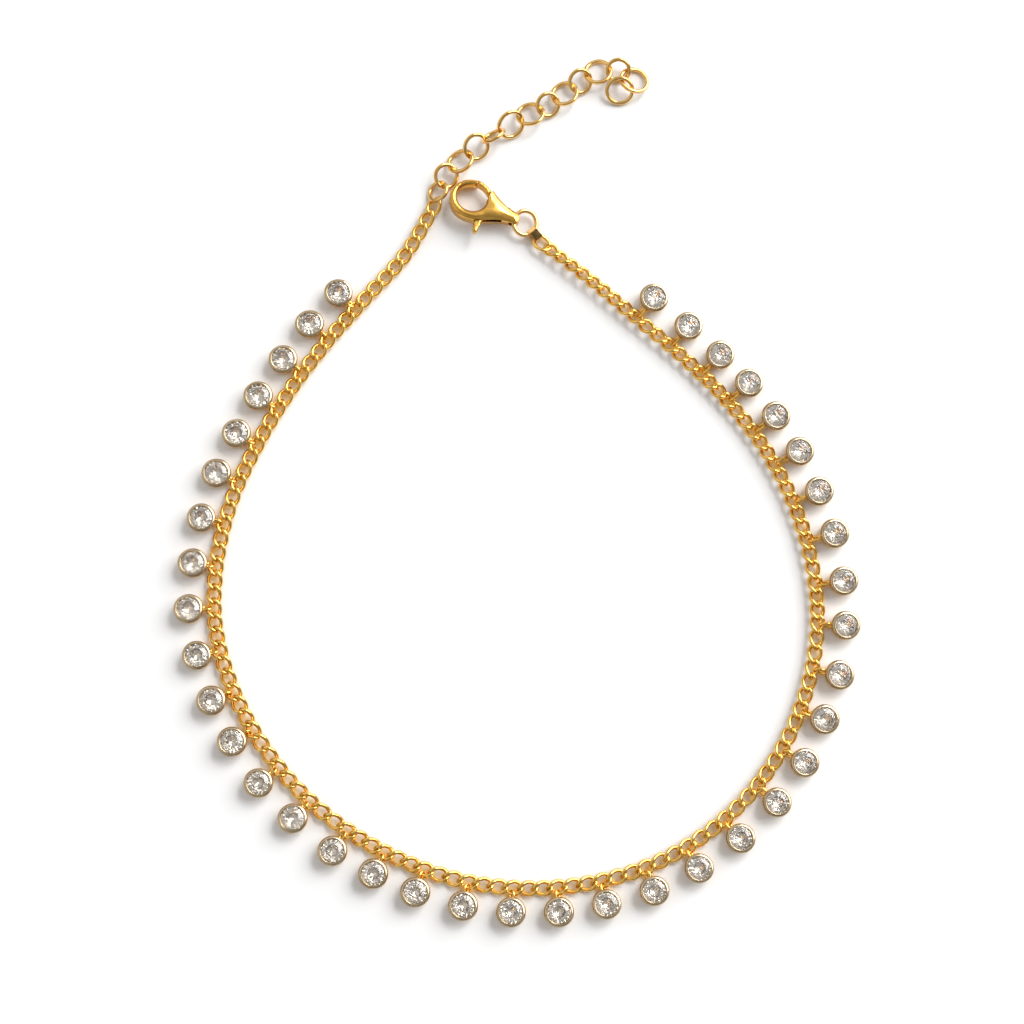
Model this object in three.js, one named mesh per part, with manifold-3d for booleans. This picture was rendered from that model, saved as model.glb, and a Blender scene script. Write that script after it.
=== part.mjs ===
// Charm anklet: a curb chain with bezel-set stones along its outer side,
// a sprung lobster clasp at one end and a ring extender at the other.
// It lies closed on a flat surface. Millimetres, +Z up; X and Y lie in the
// surface, +Y towards the clasp. Z = 0 is the surface.
import * as THREE from 'three';
import { mergeVertices } from 'three/addons/utils/BufferGeometryUtils.js';
import Module from 'manifold-3d';

const wasm = await Module();
wasm.setup();

// ---- driving dimensions ----
const CHAIN_WIDTH = 1.64;        // body of the chain across, links flat
const CHAIN_HEIGHT = 1.40;       // body of the chain, top to bottom
const CHAIN_MID_Z = 0.75;        // height of the chain's middle line
const CHAIN_STEPS = 78;          // steps along the route
const CHAIN_SIDES = 8;

const CUP_RADIUS = 1.68;         // bezel cup, outside
const CUP_BASE_RADIUS = 1.20;    // flat underside of the cup
const CUP_HEIGHT = 1.72;         // underside to the top of the rim
const CUP_SIDES = 12;
const RIM_RADIUS = 1.46;         // middle of the rounded rim's top
const STONE_RADIUS = 1.28;       // stone where the rim holds it
const STONE_SEAT_Z = 1.58;
const TABLE_RADIUS = 0.74;       // flat top facet of the stone
const TABLE_Z = 1.98;
const STUB_RADIUS = 0.26;        // soldered loop between cup and chain
const STUB_GAP = 0.10;           // loop's end to the chain's body
const OUT_MIN = 2.60;            // nearest that a cup's middle may lie to the chain's middle line

const WIRE = 0.40;               // wire of the extender's rings and the clasp's ring
const RING_SEGMENTS = 12;
const RING_SIDES = 6;

const CLASP_X = -4.70;           // middle of the clasp's eye
const CLASP_Y = 36.68;
const CLASP_Z = 1.26;
const CLASP_YAW = 154;           // degrees: tail to hook
const CLASP_ROLL = 8;            // degrees: the thumb side is raised
const CLASP_THICK = 1.80;
const CLASP_BEVEL = 0.22;
const HOOK_RADIUS = 2.46;        // outside of the hook's round end
const HOOK_X = 0.12;             // middle of the hook's round end
const HOOK_Y = 0.16;
const EYE_LONG = 1.74;           // half length of the eye
const EYE_WIDE = 1.54;           // half width of the eye
const SLOT_LOW = -0.02;          // slot between the cheeks, nearer the upper one
const SLOT_HIGH = 0.56;
const SLOT_BACK = -4.30;
const SLOT_FRONT = -1.38;
const LEVER_THICK = 0.46;
const LEVER_MID = 0.27;          // height of the lever's middle in the clasp
const GATE_THICK = 1.00;         // the gate, outside the slot
const PIVOT_X = -2.45;
const PIVOT_Y = -0.35;
const PIN_RADIUS = 0.26;
const PIN_HOLE_RADIUS = 0.34;
const GATE_REACH = 2.97;         // gate's end, measured from the pivot
const GATE_GAP = 0.10;
const BAIL_X = -5.48;            // cross hole in the tail
const BAIL_RADIUS = 0.40;

const CLASP_RING_OD = 3.40;
const CLASP_RING_X = 1.53;
const CLASP_RING_Y = 33.96;
const CLASP_RING_Z = 1.00;
const CLASP_RING_SLOPE = 12;     // degrees, down from the tail
const CLASP_RING_FACES = 340;
const CLASP_RING_SQUASH = 0.93;  // worn a little oval, shorter along the pull

const END_HEADING = -50;         // degrees: from the clasp's ring to the chain
const END_LENGTH = 1.74;
const END_HEIGHT = 1.46;
const END_WIDTH = 0.92;
const END_NEAR = 0.86;           // near end, from the middle of the clasp's ring

// ---- finishes ----
const GOLD = { color: 0xd9a033, roughness: 0.22, metalness: 1.0 };
const PALE_GOLD = { color: 0xd8bd8a, roughness: 0.18, metalness: 1.0 };
const DARK_GOLD = { color: 0x7d6226, roughness: 0.55, metalness: 1.0 };

// The chain's route on the surface, from the extender's first ring round to
// the clasp's end link. One row for each stretch of about 7 mm.
const ROUTE = [
  { x: -8.96, y: 36.34 }, { x: -12.49, y: 30.27 }, { x: -17.18, y: 24.96 },
  { x: -21.77, y: 19.56 }, { x: -25.91, y: 13.81 }, { x: -29.43, y: 7.68 },
  { x: -32.21, y: 1.18 }, { x: -33.74, y: -5.73 }, { x: -33.80, y: -12.83 },
  { x: -31.94, y: -19.67 }, { x: -28.66, y: -25.94 }, { x: -24.23, y: -31.48 },
  { x: -18.77, y: -35.98 }, { x: -12.56, y: -39.37 }, { x: -5.86, y: -41.65 },
  { x: 1.15, y: -42.55 }, { x: 8.23, y: -42.06 }, { x: 15.11, y: -40.19 },
  { x: 21.39, y: -36.82 }, { x: 26.75, y: -32.12 }, { x: 30.88, y: -26.32 },
  { x: 33.59, y: -19.74 }, { x: 34.75, y: -12.71 }, { x: 34.18, y: -5.63 },
  { x: 32.20, y: 1.19 }, { x: 28.98, y: 7.51 }, { x: 24.66, y: 13.15 },
  { x: 19.66, y: 18.18 }, { x: 14.29, y: 22.80 }, { x: 8.91, y: 27.40 },
  { x: 3.54, y: 31.56 },
];

// One row for each charm: how far along the chain its link is, and how far
// out from the chain's middle line its cup lies.
const CHARMS = [
  { at: 15.69, out: 2.60 }, { at: 20.52, out: 2.73 }, { at: 25.51, out: 2.60 },
  { at: 30.44, out: 2.60 }, { at: 35.25, out: 2.60 }, { at: 40.16, out: 2.68 },
  { at: 45.21, out: 2.63 }, { at: 50.11, out: 2.60 }, { at: 54.95, out: 2.80 },
  { at: 59.80, out: 2.60 }, { at: 64.79, out: 2.63 }, { at: 69.64, out: 2.62 },
  { at: 74.81, out: 2.77 }, { at: 79.93, out: 2.65 }, { at: 85.29, out: 2.75 },
  { at: 90.17, out: 2.65 }, { at: 95.00, out: 2.66 }, { at: 100.15, out: 2.64 },
  { at: 105.17, out: 2.64 }, { at: 110.14, out: 2.67 }, { at: 115.17, out: 2.60 },
  { at: 120.28, out: 2.70 }, { at: 125.44, out: 2.67 }, { at: 130.72, out: 2.70 },
  { at: 135.99, out: 2.83 }, { at: 140.99, out: 2.89 }, { at: 145.93, out: 2.87 },
  { at: 150.78, out: 3.10 }, { at: 155.91, out: 3.12 }, { at: 160.50, out: 3.16 },
  { at: 165.59, out: 3.21 }, { at: 170.34, out: 3.12 }, { at: 175.06, out: 3.16 },
  { at: 179.57, out: 3.09 }, { at: 184.21, out: 3.13 }, { at: 188.62, out: 3.01 },
  { at: 193.42, out: 3.03 }, { at: 198.57, out: 3.02 },
];

// One row for each ring of the extender, from the chain outwards: its outer
// diameter, its middle, and how its plane leans: tilt from flat, and the
// direction that its upper side faces.
const EXTENDER = [
  { od: 2.76, x: -8.68, y: 37.81, z: 0.87, tilt: 32, faces: 155 },
  { od: 3.10, x: -7.71, y: 39.63, z: 1.02, tilt: 30, faces: -41 },
  { od: 3.45, x: -6.07, y: 41.42, z: 1.07, tilt: 32, faces: 137 },
  { od: 3.30, x: -4.19, y: 43.09, z: 1.31, tilt: 38, faces: -56 },
  { od: 3.15, x: -2.19, y: 44.39, z: 1.40, tilt: 59, faces: 121 },
  { od: 3.50, x: -0.13, y: 45.77, z: 1.33, tilt: 46, faces: -55 },
  { od: 3.50, x: 2.14, y: 47.14, z: 1.10, tilt: 25, faces: 113 },
  { od: 3.05, x: 4.23, y: 48.35, z: 0.91, tilt: 30, faces: -50 },
  { od: 3.45, x: 6.20, y: 49.72, z: 0.88, tilt: 23, faces: 127 },
  { od: 3.05, x: 8.06, y: 51.24, z: 0.87, tilt: 30, faces: -54 },
  { od: 3.50, x: 10.16, y: 52.45, z: 0.74, tilt: 19, faces: 110 },
  { od: 3.00, x: 12.55, y: 52.58, z: 0.90, tilt: 31, faces: -90 },
  { od: 3.65, x: 14.42, y: 51.37, z: 0.85, tilt: 23, faces: 56 },
  { od: 3.40, x: 12.71, y: 50.06, z: 1.00, tilt: 31, faces: -90 },
];

const rad = THREE.MathUtils.degToRad;

// an oval outline of n straight sides
function oval(cx, cy, rx, ry, n) {
  return new THREE.Shape(Array.from({ length: n }, (_, i) => new THREE.Vector2(
    cx + rx * Math.cos(2 * Math.PI * i / n), cy + ry * Math.sin(2 * Math.PI * i / n))));
}
const object = new THREE.Group();
const body = new THREE.Group();      // everything, before its box is centred
object.add(body);

function mesh(name, geometry, finish) {
  const m = new THREE.Mesh(geometry, new THREE.MeshStandardMaterial(finish));
  m.name = name;
  return m;
}

// ---- closed meshes to solids and back ----
function solid(geometry) {
  const g = geometry.index ? geometry.clone() : geometry;
  g.deleteAttribute('normal');
  g.deleteAttribute('uv');
  const m = mergeVertices(g, 1e-5);
  return new wasm.Manifold(new wasm.Mesh({
    numProp: 3,
    vertProperties: new Float32Array(m.attributes.position.array),
    triVerts: new Uint32Array(m.index.array),
  }));
}

function geometryOf(manifold) {
  const m = manifold.getMesh();
  const g = new THREE.BufferGeometry();
  g.setAttribute('position', new THREE.BufferAttribute(new Float32Array(m.vertProperties), 3));
  g.setIndex(new THREE.BufferAttribute(new Uint32Array(m.triVerts), 1));
  g.computeVertexNormals();
  return g;
}

// a flat outline made into a plate that is centred on z = 0
function plate(shape, thickness, bevel = 0, curveSegments = 12) {
  const points = shape.getPoints(curveSegments)
    .filter((p, i, all) => p.distanceTo(all[(i + 1) % all.length]) > 1e-5);
  const g = new THREE.ExtrudeGeometry(new THREE.Shape(points), {
    depth: thickness - 2 * bevel, bevelEnabled: bevel > 0, bevelThickness: bevel,
    bevelSize: bevel, bevelOffset: -bevel, bevelSegments: 1, curveSegments,
  });
  g.translate(0, 0, -(thickness - 2 * bevel) / 2);
  return solid(g);
}

// ---- chain ----
const route = new THREE.CatmullRomCurve3(
  ROUTE.map((r) => new THREE.Vector3(r.x, r.y, 0)), false, 'centripetal');
route.arcLengthDivisions = 3000;
const routeLength = route.getLength();

function chainGeometry() {
  const section = new THREE.Shape();
  for (let i = 0; i < CHAIN_SIDES; i += 1) {
    const a = (i + 0.5) * 2 * Math.PI / CHAIN_SIDES;
    const k = 1 / Math.cos(Math.PI / CHAIN_SIDES);
    const p = [k * Math.cos(a) * CHAIN_HEIGHT / 2, k * Math.sin(a) * CHAIN_WIDTH / 2];
    if (i) section.lineTo(...p); else section.moveTo(...p);
  }
  section.closePath();
  const g = new THREE.ExtrudeGeometry(section, { steps: CHAIN_STEPS, extrudePath: route, bevelEnabled: false });
  g.translate(0, 0, CHAIN_MID_Z);
  return geometryOf(solid(g));
}
body.add(mesh('chain', chainGeometry(), GOLD));

// ---- charms ----
function charmGeometry(out) {
  const profile = [
    [0, 0], [CUP_BASE_RADIUS, 0], [CUP_RADIUS - 0.10, 0.62], [CUP_RADIUS, 1.36],
    [RIM_RADIUS, CUP_HEIGHT], [STONE_RADIUS, STONE_SEAT_Z], [TABLE_RADIUS, TABLE_Z], [0, TABLE_Z],
  ].map(([r, z]) => new THREE.Vector2(r, z));
  const cup = new THREE.LatheGeometry(profile, CUP_SIDES);
  cup.rotateX(Math.PI / 2);
  const reach = Math.max(out - CHAIN_WIDTH / 2 - STUB_GAP, CUP_RADIUS * 0.98);
  const stub = new THREE.CylinderGeometry(STUB_RADIUS, STUB_RADIUS, reach - 0.8, 8);
  stub.rotateZ(Math.PI / 2);
  stub.translate(-(0.8 + reach) / 2, 0, CHAIN_MID_Z + 0.15);
  return geometryOf(solid(cup).add(solid(stub)));
}

CHARMS.forEach((row, i) => {
  const u = row.at / routeLength;
  const p = route.getPointAt(u);
  const t = route.getTangentAt(u);
  const outward = new THREE.Vector2(t.y, -t.x).negate();   // left of the way round is inside
  outward.negate();
  if (outward.dot(new THREE.Vector2(p.x, p.y + 4)) < 0) outward.negate();
  const m = mesh(`charm_${String(i + 1).padStart(2, '0')}`, charmGeometry(row.out), PALE_GOLD);
  m.position.set(p.x + outward.x * row.out, p.y + outward.y * row.out, 0);
  m.rotation.z = Math.atan2(outward.y, outward.x);
  body.add(m);
});

// ---- rings ----
function ringGeometry(od) {
  const r = (od - WIRE) / 2;
  const profile = [];
  for (let i = 0; i <= RING_SIDES; i += 1) {
    const a = -(i / RING_SIDES) * 2 * Math.PI;
    profile.push(new THREE.Vector2(r + Math.cos(a) * WIRE / 2, Math.sin(a) * WIRE / 2));
  }
  const g = new THREE.LatheGeometry(profile.reverse(), RING_SEGMENTS);
  g.rotateX(Math.PI / 2);
  return geometryOf(solid(g));
}

function placedRing(name, row) {
  const m = mesh(name, ringGeometry(row.od), GOLD);
  const n = new THREE.Vector3(
    Math.sin(rad(row.tilt)) * Math.cos(rad(row.faces)),
    Math.sin(rad(row.tilt)) * Math.sin(rad(row.faces)), Math.cos(rad(row.tilt)));
  m.quaternion.setFromUnitVectors(new THREE.Vector3(0, 0, 1), n);
  m.position.set(row.x, row.y, row.z);
  return m;
}
EXTENDER.forEach((row, i) => {
  body.add(placedRing(`ext_ring_${String(i + 1).padStart(2, '0')}`, row));
});

// ---- lobster clasp, in its own frame: +X towards the hook, +Y the thumb side ----
const clasp = new THREE.Group();
clasp.position.set(CLASP_X, CLASP_Y, CLASP_Z);
clasp.rotation.z = rad(CLASP_YAW);
const rolled = new THREE.Group();
rolled.rotation.x = rad(CLASP_ROLL);
clasp.add(rolled);
body.add(clasp);

function claspOutline() {
  const s = new THREE.Shape();
  s.moveTo(-5.98, -0.46);
  s.quadraticCurveTo(-6.22, 0, -5.98, 0.40);
  s.quadraticCurveTo(-5.70, 0.66, -5.00, 0.74);
  s.quadraticCurveTo(-3.60, 1.10, -2.10, 2.10);
  s.quadraticCurveTo(-1.10, HOOK_Y + HOOK_RADIUS, HOOK_X, HOOK_Y + HOOK_RADIUS);
  s.absarc(HOOK_X, HOOK_Y, HOOK_RADIUS, Math.PI / 2, -Math.PI / 2, true);
  s.quadraticCurveTo(-1.05, HOOK_Y - HOOK_RADIUS, -2.05, -1.95);
  s.quadraticCurveTo(-3.40, -1.16, -5.00, -0.84);
  s.quadraticCurveTo(-5.70, -0.74, -5.98, -0.46);
  return s;
}

function box(x0, x1, y0, y1, z0, z1) {
  const g = new THREE.BoxGeometry(x1 - x0, y1 - y0, z1 - z0);
  g.translate((x0 + x1) / 2, (y0 + y1) / 2, (z0 + z1) / 2);
  return solid(g);
}

function disc(radius, height, x, y, segments) {
  const g = new THREE.CylinderGeometry(radius, radius, height, segments);
  g.rotateX(Math.PI / 2);
  g.translate(x, y, 0);
  return solid(g);
}

function claspBody() {
  const eye = oval(0.02, 0.02, EYE_LONG, EYE_WIDE, 32);
  const bail = new THREE.CylinderGeometry(BAIL_RADIUS, BAIL_RADIUS, 4, 12);
  bail.translate(BAIL_X, 0, 0);
  // the room that the gate fills and swings through
  const gateRoom = disc(GATE_REACH + GATE_GAP, 4, PIVOT_X, PIVOT_Y, 48)
    .intersect(box(-1.80, 2, -4, -0.60, -2, 2));
  const slot = box(SLOT_BACK, SLOT_FRONT, -4, 4, SLOT_LOW, SLOT_HIGH);
  return plate(claspOutline(), CLASP_THICK, CLASP_BEVEL, 9)
    .subtract(plate(eye, 4))
    .subtract(gateRoom)
    .subtract(slot)
    .subtract(solid(bail))
    .add(disc(PIN_RADIUS, CLASP_THICK - 0.02, PIVOT_X, PIVOT_Y, 12));
}

function leverOutline() {
  const s = new THREE.Shape();
  s.moveTo(-1.50, 2.30);
  s.quadraticCurveTo(-1.62, 3.00, -1.80, 3.62);
  s.quadraticCurveTo(-2.02, 3.86, -2.32, 3.66);
  s.quadraticCurveTo(-2.34, 3.00, -2.20, 2.20);
  s.quadraticCurveTo(-2.50, 1.20, -3.02, 0.10);
  s.quadraticCurveTo(-3.24, -0.60, -2.76, -1.02);
  s.lineTo(-2.20, -1.36);
  s.quadraticCurveTo(-1.30, -2.30, 0.60, -2.36);
  s.lineTo(0.60, -1.66);
  s.quadraticCurveTo(-0.90, -1.70, -1.66, -0.90);
  s.quadraticCurveTo(-1.96, -0.40, -1.84, 0.60);
  s.quadraticCurveTo(-1.72, 1.50, -1.50, 2.30);
  return s;
}

function claspLever() {
  const gate = plate(leverOutline(), GATE_THICK, 0, 5).intersect(box(-1.26, 2, -4, -1.20, -2, 2));
  const reach = disc(GATE_REACH, 4, PIVOT_X, PIVOT_Y, 48).add(box(-4, 0, 0, 4, -2, 2));
  return plate(leverOutline(), LEVER_THICK, 0, 5).add(gate)
    .intersect(reach)
    .subtract(disc(PIN_HOLE_RADIUS, 4, PIVOT_X, PIVOT_Y, 12))
    .translate([0, 0, LEVER_MID]);
}
rolled.add(mesh('clasp_body', geometryOf(claspBody()), GOLD));
rolled.add(mesh('clasp_lever', geometryOf(claspLever()), GOLD));

// the ring through the tail's cross hole, sloping down away from it
const claspRing = new THREE.Group();
const claspRingShape = ringGeometry(CLASP_RING_OD);
claspRingShape.scale(CLASP_RING_SQUASH, 1, 1);
claspRingShape.rotateY(rad(CLASP_RING_SLOPE));
claspRingShape.rotateZ(rad(CLASP_RING_FACES));
claspRing.add(mesh('clasp_ring', claspRingShape, GOLD));
claspRing.position.set(CLASP_RING_X, CLASP_RING_Y, CLASP_RING_Z);
body.add(claspRing);

// ---- end link: an upright link with a squared, flat top, round the clasp's ring ----
function endLink() {
  const outline = new THREE.Shape();
  const c = 0.34;
  const L = END_LENGTH;
  const H = END_HEIGHT;
  outline.moveTo(c, 0);
  outline.lineTo(L - c, 0);
  outline.lineTo(L, c);
  outline.lineTo(L, H - 0.16);
  outline.lineTo(L - 0.16, H);
  outline.lineTo(0.62, H);
  outline.lineTo(0, H - 0.62);
  outline.lineTo(0, c);
  outline.closePath();
  const hole = oval(L / 2 + 0.02, H / 2 + 0.02, L / 2 - 0.24, H / 2 - 0.28, 16);
  const m = plate(outline, END_WIDTH, 0.12, 1).subtract(plate(hole, 4));
  const g = geometryOf(m);
  g.rotateX(Math.PI / 2);
  return g;
}
const end = mesh('end_link', endLink(), DARK_GOLD);
end.position.set(
  CLASP_RING_X + Math.cos(rad(END_HEADING)) * END_NEAR,
  CLASP_RING_Y + Math.sin(rad(END_HEADING)) * END_NEAR, 0.02);
end.rotation.z = rad(END_HEADING);
body.add(end);

// ---- the origin: the middle of the box, on the surface ----
object.updateMatrixWorld(true);
const bounds = new THREE.Box3().setFromObject(object, true);
const middle = bounds.getCenter(new THREE.Vector3());
body.position.set(-middle.x, -middle.y, -bounds.min.z);
object.updateMatrixWorld(true);

export default object;
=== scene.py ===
import math
import random

import bpy
import bmesh
import numpy as np
from mathutils import Matrix, Vector
from mathutils.geometry import delaunay_2d_cdt


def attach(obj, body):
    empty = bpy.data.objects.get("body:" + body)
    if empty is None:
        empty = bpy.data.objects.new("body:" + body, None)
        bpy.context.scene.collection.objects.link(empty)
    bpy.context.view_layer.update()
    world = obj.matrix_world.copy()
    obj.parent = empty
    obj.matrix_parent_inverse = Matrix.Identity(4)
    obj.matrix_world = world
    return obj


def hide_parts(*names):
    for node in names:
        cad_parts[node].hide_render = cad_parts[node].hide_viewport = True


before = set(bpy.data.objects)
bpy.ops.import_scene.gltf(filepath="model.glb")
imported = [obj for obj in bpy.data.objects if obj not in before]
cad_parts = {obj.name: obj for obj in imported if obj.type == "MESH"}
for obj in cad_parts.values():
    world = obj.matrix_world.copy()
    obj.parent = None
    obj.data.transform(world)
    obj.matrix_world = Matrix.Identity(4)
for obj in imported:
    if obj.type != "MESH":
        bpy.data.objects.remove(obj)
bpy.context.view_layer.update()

OFFSET = Vector((-0.55149, -3.65179, 0.0))
rng = random.Random(38)


def place(p):
    return ((p[0] + OFFSET.x) * 0.001, (p[1] + OFFSET.y) * 0.001, (p[2] + OFFSET.z) * 0.001)


# ---------------------------------------------------------------- layout
ROUTE = [
    (-8.96, 36.34), (-12.49, 30.27), (-17.18, 24.96), (-21.77, 19.56), (-25.91, 13.81),
    (-29.43, 7.68), (-32.21, 1.18), (-33.74, -5.73), (-33.80, -12.83), (-31.94, -19.67),
    (-28.66, -25.94), (-24.23, -31.48), (-18.77, -35.98), (-12.56, -39.37), (-5.86, -41.65),
    (1.15, -42.55), (8.23, -42.06), (15.11, -40.19), (21.39, -36.82), (26.75, -32.12),
    (30.88, -26.32), (33.59, -19.74), (34.75, -12.71), (34.18, -5.63), (32.20, 1.19),
    (28.98, 7.51), (24.66, 13.15), (19.66, 18.18), (14.29, 22.80), (8.91, 27.40),
    (3.54, 31.56),
]
# how far along the chain each cup hangs, and how far out its middle lies
CHARMS = [
    (15.69, 2.60), (20.52, 2.73), (25.51, 2.60), (30.44, 2.60), (35.25, 2.60), (40.16, 2.68),
    (45.21, 2.63), (50.11, 2.60), (54.95, 2.80), (59.80, 2.60), (64.79, 2.63), (69.64, 2.62),
    (74.81, 2.77), (79.93, 2.65), (85.29, 2.75), (90.17, 2.65), (95.00, 2.66), (100.15, 2.64),
    (105.17, 2.64), (110.14, 2.67), (115.17, 2.60), (120.28, 2.70), (125.44, 2.67), (130.72, 2.70),
    (135.99, 2.83), (140.99, 2.89), (145.93, 2.87), (150.78, 3.10), (155.91, 3.12), (160.50, 3.16),
    (165.59, 3.21), (170.34, 3.12), (175.06, 3.16), (179.57, 3.09), (184.21, 3.13), (188.62, 3.01),
    (193.42, 3.03), (198.57, 3.02),
]
# outer diameter, middle, lean from flat, direction that the upper side faces
EXTENDER = [
    (2.76, -8.68, 37.81, 0.87, 32, 155), (3.10, -7.71, 39.63, 1.02, 30, -41),
    (3.45, -6.07, 41.42, 1.07, 32, 137), (3.30, -4.19, 43.09, 1.31, 38, -56),
    (3.15, -2.19, 44.39, 1.40, 59, 121), (3.50, -0.13, 45.77, 1.33, 46, -55),
    (3.50, 2.14, 47.14, 1.10, 25, 113), (3.05, 4.23, 48.35, 0.91, 30, -50),
    (3.45, 6.20, 49.72, 0.88, 23, 127), (3.05, 8.06, 51.24, 0.87, 30, -54),
    (3.50, 10.16, 52.45, 0.74, 19, 110), (3.00, 12.55, 52.58, 0.90, 31, -90),
    (3.65, 14.42, 51.37, 0.85, 23, 56), (3.40, 12.71, 50.06, 1.00, 31, -90),
]

CLASP_PLACE = (Matrix.Translation((-4.70, 36.68, 1.26))
               @ Matrix.Rotation(math.radians(154), 4, 'Z')
               @ Matrix.Rotation(math.radians(8), 4, 'X'))


class Route:
    """Centripetal Catmull-Rom curve through the rows, by its length."""

    def __init__(self, rows):
        pts = [Vector((x, y, 0)) for x, y in rows]
        pts = [pts[0] * 2 - pts[1]] + pts + [pts[-1] * 2 - pts[-2]]
        samples = []
        for i in range(1, len(pts) - 2):
            p0, p1, p2, p3 = pts[i - 1:i + 3]
            t0, t1, t2 = (max((b - a).length ** 0.5, 1e-9) for a, b in ((p0, p1), (p1, p2), (p2, p3)))
            m1 = ((p1 - p0) / t0 - (p2 - p0) / (t0 + t1) + (p2 - p1) / t1) * t1
            m2 = ((p2 - p1) / t1 - (p3 - p1) / (t1 + t2) + (p3 - p2) / t2) * t1
            for j in range(60):
                u = j / 60
                samples.append(p1 + u * m1 + u * u * (-3 * p1 + 3 * p2 - 2 * m1 - m2)
                               + u ** 3 * (2 * p1 - 2 * p2 + m1 + m2))
        samples.append(pts[-2])
        self.p = np.array([tuple(s) for s in samples])
        steps = np.linalg.norm(np.diff(self.p, axis=0), axis=1)
        self.s = np.concatenate([[0], np.cumsum(steps)])
        self.length = float(self.s[-1])

    def at(self, s):
        """Point and direction; past an end, straight on."""
        inside = min(max(s, 0.0), self.length)
        p = np.array([np.interp(inside, self.s, self.p[:, k]) for k in range(3)])
        a = max(inside - 0.3, 0.0)
        b = min(inside + 0.3, self.length)
        pa = np.array([np.interp(a, self.s, self.p[:, k]) for k in range(3)])
        pb = np.array([np.interp(b, self.s, self.p[:, k]) for k in range(3)])
        t = (pb - pa) / np.linalg.norm(pb - pa)
        return Vector(p + t * (s - inside)), Vector(t)


route = Route(ROUTE)


# ---------------------------------------------------------------- mesh tools
class Pile:
    """Vertices and faces of one piece, in millimetres of the layout."""

    def __init__(self):
        self.v, self.f, self.m, self.sharp = [], [], [], []

    def add(self, verts, faces, matrix=None, material=0, flat=False):
        base = len(self.v)
        self.v += [matrix @ Vector(p) if matrix else Vector(p) for p in verts]
        self.f += [tuple(base + i for i in face) for face in faces]
        self.m += [material] * len(faces)
        self.sharp += [flat] * len(faces)

    def to_object(self, name, materials):
        mesh = bpy.data.meshes.new(name)
        mesh.from_pydata([place(p) for p in self.v], [], self.f)
        for m in materials:
            mesh.materials.append(m)
        mesh.polygons.foreach_set("material_index", self.m)
        mesh.polygons.foreach_set("use_smooth", [not s for s in self.sharp])
        mesh.validate()
        mesh.update()
        obj = bpy.data.objects.new(name, mesh)
        bpy.context.scene.collection.objects.link(obj)
        return obj


def closed_tube(centres, section):
    """A closed tube along a closed line of centres. section(i) gives the
    wire's outline at centre i as pairs (across, up), up being the given
    second direction of that centre's frame."""
    n = len(centres)
    verts, faces = [], []
    k = None
    for i, (c, side, up) in enumerate(centres):
        outline = section(i)
        k = len(outline)
        verts += [c + side * a + up * b for a, b in outline]
    for i in range(n):
        j = (i + 1) % n
        for a in range(k):
            b = (a + 1) % k
            faces.append((i * k + a, j * k + a, j * k + b, i * k + b))
    return verts, faces


def ring_of_wire(points, wire, normals, sides=10, power=2.0, flat=1.0, tuck=None):
    """Closed wire through points; normals point out of the loop's plane.
    power above 2 squares the wire's section, flat scales it along the normal."""
    n = len(points)
    centres = []
    for i in range(n):
        t = (points[(i + 1) % n] - points[i - 1]).normalized()
        up = normals[i] - t * normals[i].dot(t)
        up.normalize()
        side = t.cross(up).normalized()
        centres.append((points[i], side, up))
    outline = []
    for a in range(sides):
        ang = 2 * math.pi * (a + 0.5) / sides
        c, s = math.cos(ang), math.sin(ang)
        r = (abs(c) ** power + abs(s) ** power) ** (-1 / power)
        outline.append((r * c * wire / 2, r * s * wire / 2 * flat))
    return closed_tube(centres, lambda i: outline)


def lathe(profile, segments, wobble=None):
    """Profile of (r, z) from the axis at the bottom to the axis at the top."""
    verts, faces, rows = [], [], []
    for r, z in profile:
        if r < 1e-9:
            rows.append([len(verts)])
            verts.append((0, 0, z))
        else:
            row = []
            for i in range(segments):
                a = 2 * math.pi * i / segments
                k = 1 if wobble is None else wobble(a)
                row.append(len(verts))
                verts.append((r * k * math.cos(a), r * k * math.sin(a), z))
            rows.append(row)
    for lo, hi in zip(rows, rows[1:]):
        for i in range(segments):
            j = (i + 1) % segments
            if len(lo) == 1 and len(hi) == 1:
                continue
            if len(lo) == 1:
                faces.append((lo[0], hi[j], hi[i]))
            elif len(hi) == 1:
                faces.append((lo[i], lo[j], hi[0]))
            else:
                faces.append((lo[i], lo[j], hi[j], hi[i]))
    return verts, faces


# ---------------------------------------------------------------- materials
def nodes_of(mat):
    mat.use_nodes = True
    nt = mat.node_tree
    bsdf = next(n for n in nt.nodes if n.type == 'BSDF_PRINCIPLED')
    return nt, bsdf


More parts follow.
